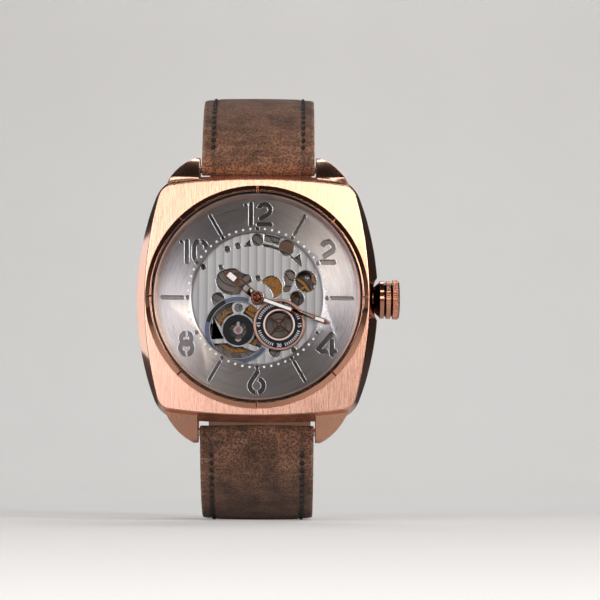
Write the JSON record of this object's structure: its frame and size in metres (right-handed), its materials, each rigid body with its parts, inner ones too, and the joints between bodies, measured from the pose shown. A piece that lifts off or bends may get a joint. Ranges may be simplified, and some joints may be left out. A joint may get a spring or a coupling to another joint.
{
  "type": "skeleton wristwatch",
  "caption": "Cushion-shaped mechanical wristwatch with an open dial, visible balance, small seconds, fluted crown and buckled leather strap.",
  "frame": {"origin": "on the hand axis, at the outer face of the case back, where the watch seats on the wrist", "axes": "+Z from the dial centre towards 12 o'clock, +X towards 3 o'clock and the crown, +Y out of the case back towards the wrist, so the dial faces -Y"},
  "size_m": [0.0461, 0.0605, 0.0778],
  "materials": {
    "rose_gold_brushed": "vertical satin brushing",
    "rose_gold_polished": "mirror polish",
    "sapphire": "clear",
    "silver_dial": "sunray brushing",
    "silver_plate": "striped",
    "dial_base": "matt",
    "steel": "fine grained",
    "bridge_nickel": "striped",
    "black_lacquer": "satin black",
    "blue_grey_lacquer": "satin",
    "gilt_brass": "gilt",
    "ruby": "polished",
    "lume": "matt",
    "brown_leather": "nubuck",
    "lining_leather": "smooth",
    "black_rubber": "matt"
  },
  "bodies": {
    "case": {"case_middle": "rose_gold_brushed", "bezel": "rose_gold_polished", "crystal": "sapphire", "crystal_gasket": "black_rubber", "rehaut_ring": "rose_gold_polished", "dial_ring": "silver_dial", "dial_base_ring": "dial_base", "minute_dots": "lume", "skeleton_plate": "silver_plate", "balance_window_bridge": "silver_plate", "aperture_arc": "blue_grey_lacquer", "balance_cover_disc": "black_lacquer", "seconds_dial_ring": "rose_gold_polished", "seconds_track": "black_lacquer", "main_plate": "bridge_nickel", "barrel_bridge": "bridge_nickel", "train_bridge": "bridge_nickel", "balance_cock": "bridge_nickel", "movement_holder": "steel", "jewels": "ruby", "bridge_screws": "steel", "rotor_axle": "steel", "case_back_ring": "rose_gold_brushed", "case_back_glass": "sapphire", "case_back_gasket": "black_rubber", "crown_tube": "steel", "strap_12_leather": "brown_leather", "strap_12_lining": "lining_leather", "strap_6_leather": "brown_leather", "strap_6_lining": "lining_leather", "lug_spring_bars": "steel", "fixed_keeper": "brown_leather", "buckle_bar": "steel"},
    "seconds_arbor": {"fourth_wheel": "gilt_brass", "seconds_indicator": "rose_gold_polished"},
    "third_wheel": {"third_wheel": "gilt_brass"},
    "centre_wheel": {"centre_wheel": "gilt_brass"},
    "barrel": {"barrel": "gilt_brass"},
    "escape_wheel": {"escape_wheel": "steel"},
    "pallet_fork": {"pallet_fork": "steel"},
    "balance": {"balance_wheel": "gilt_brass", "hairspring": "steel"},
    "minute_hand": {"cannon_pinion": "steel", "minute_hand": "rose_gold_polished", "minute_hand_lume": "lume"},
    "hour_hand": {"hour_wheel": "gilt_brass", "hour_hand": "rose_gold_polished", "hour_hand_lume": "lume"},
    "minute_wheel": {"minute_wheel": "gilt_brass"},
    "rotor": {"rotor_weight": "bridge_nickel", "rotor_bearing": "steel"},
    "setting_lever": {"setting_lever": "steel"},
    "crown": {"crown": "rose_gold_polished", "crown_gasket": "black_rubber", "winding_stem": "steel", "clutch_pinion": "steel"},
    "free_keeper": {"free_keeper": "brown_leather"},
    "buckle_frame": {"buckle_frame": "rose_gold_polished"},
    "buckle_tongue": {"buckle_tongue": "rose_gold_polished"}
  },
  "joints": [
    {"name": "seconds_turn", "type": "hinge", "parent": "case", "child": "seconds_arbor", "pos_m": [0.00384, 0, -0.00466], "axis": [0, 1, 0], "continuous": true},
    {"name": "third_wheel_turn", "type": "hinge", "parent": "case", "child": "third_wheel", "pos_m": [0.00517, 0, 0.00004], "axis": [0, 1, 0], "continuous": true},
    {"name": "centre_wheel_turn", "type": "hinge", "parent": "case", "child": "centre_wheel", "pos_m": [0, 0, 0], "axis": [0, 1, 0], "continuous": true},
    {"name": "barrel_turn", "type": "hinge", "parent": "case", "child": "barrel", "pos_m": [-0.00385, 0, 0.0055], "axis": [0, 1, 0], "continuous": true},
    {"name": "escape_wheel_turn", "type": "hinge", "parent": "case", "child": "escape_wheel", "pos_m": [0.00074, 0, -0.00734], "axis": [0, 1, 0], "continuous": true},
    {"name": "pallet_fork_rock", "type": "hinge", "parent": "case", "child": "pallet_fork", "pos_m": [-0.00123, 0, -0.00649], "axis": [0, 1, 0], "range_deg": [-5, 5]},
    {"name": "balance_swing", "type": "hinge", "parent": "case", "child": "balance", "pos_m": [-0.0033, 0, -0.0056], "axis": [0, 1, 0], "range_deg": [-270, 270], "stiffness_Nm_per_rad": 0.00000036},
    {"name": "minute_hand_turn", "type": "hinge", "parent": "case", "child": "minute_hand", "pos_m": [0, 0, 0], "axis": [0, 1, 0], "continuous": true},
    {"name": "hour_hand_turn", "type": "hinge", "parent": "case", "child": "hour_hand", "pos_m": [0, 0, 0], "axis": [0, 1, 0], "continuous": true},
    {"name": "minute_wheel_turn", "type": "hinge", "parent": "case", "child": "minute_wheel", "pos_m": [0.0025, 0, 0.002], "axis": [0, 1, 0], "continuous": true},
    {"name": "rotor_spin", "type": "hinge", "parent": "case", "child": "rotor", "pos_m": [0, 0, 0], "axis": [0, 1, 0], "continuous": true},
    {"name": "crown_pull", "type": "slide", "parent": "case", "child": "setting_lever", "axis": [1, 0, 0], "range_m": [0, 0.001]},
    {"name": "crown_turn", "type": "hinge", "parent": "setting_lever", "child": "crown", "pos_m": [0.0212, -0.0046, 0], "axis": [1, 0, 0], "continuous": true},
    {"name": "free_keeper_slide", "type": "slide", "parent": "case", "child": "free_keeper", "axis": [0, 0, 1], "range_m": [-0.0025, 0.0035]},
    {"name": "buckle_frame_hinge", "type": "hinge", "parent": "case", "child": "buckle_frame", "pos_m": [0, 0.04414, -0.003], "axis": [1, 0, 0], "range_deg": [0, 10]},
    {"name": "buckle_tongue_hinge", "type": "hinge", "parent": "buckle_frame", "child": "buckle_tongue", "pos_m": [0, 0.04414, -0.003], "axis": [1, 0, 0], "range_deg": [0, 20]}
  ],
  "couplings": [
    {"joint": "third_wheel_turn", "follows": "seconds_turn", "ratio": -0.13333},
    {"joint": "centre_wheel_turn", "follows": "seconds_turn", "ratio": 0.016667},
    {"joint": "barrel_turn", "follows": "seconds_turn", "ratio": -0.0027778},
    {"joint": "escape_wheel_turn", "follows": "seconds_turn", "ratio": -12},
    {"joint": "hour_hand_turn", "follows": "minute_hand_turn", "ratio": 0.083333},
    {"joint": "minute_wheel_turn", "follows": "minute_hand_turn", "ratio": -0.33333}
  ]
}
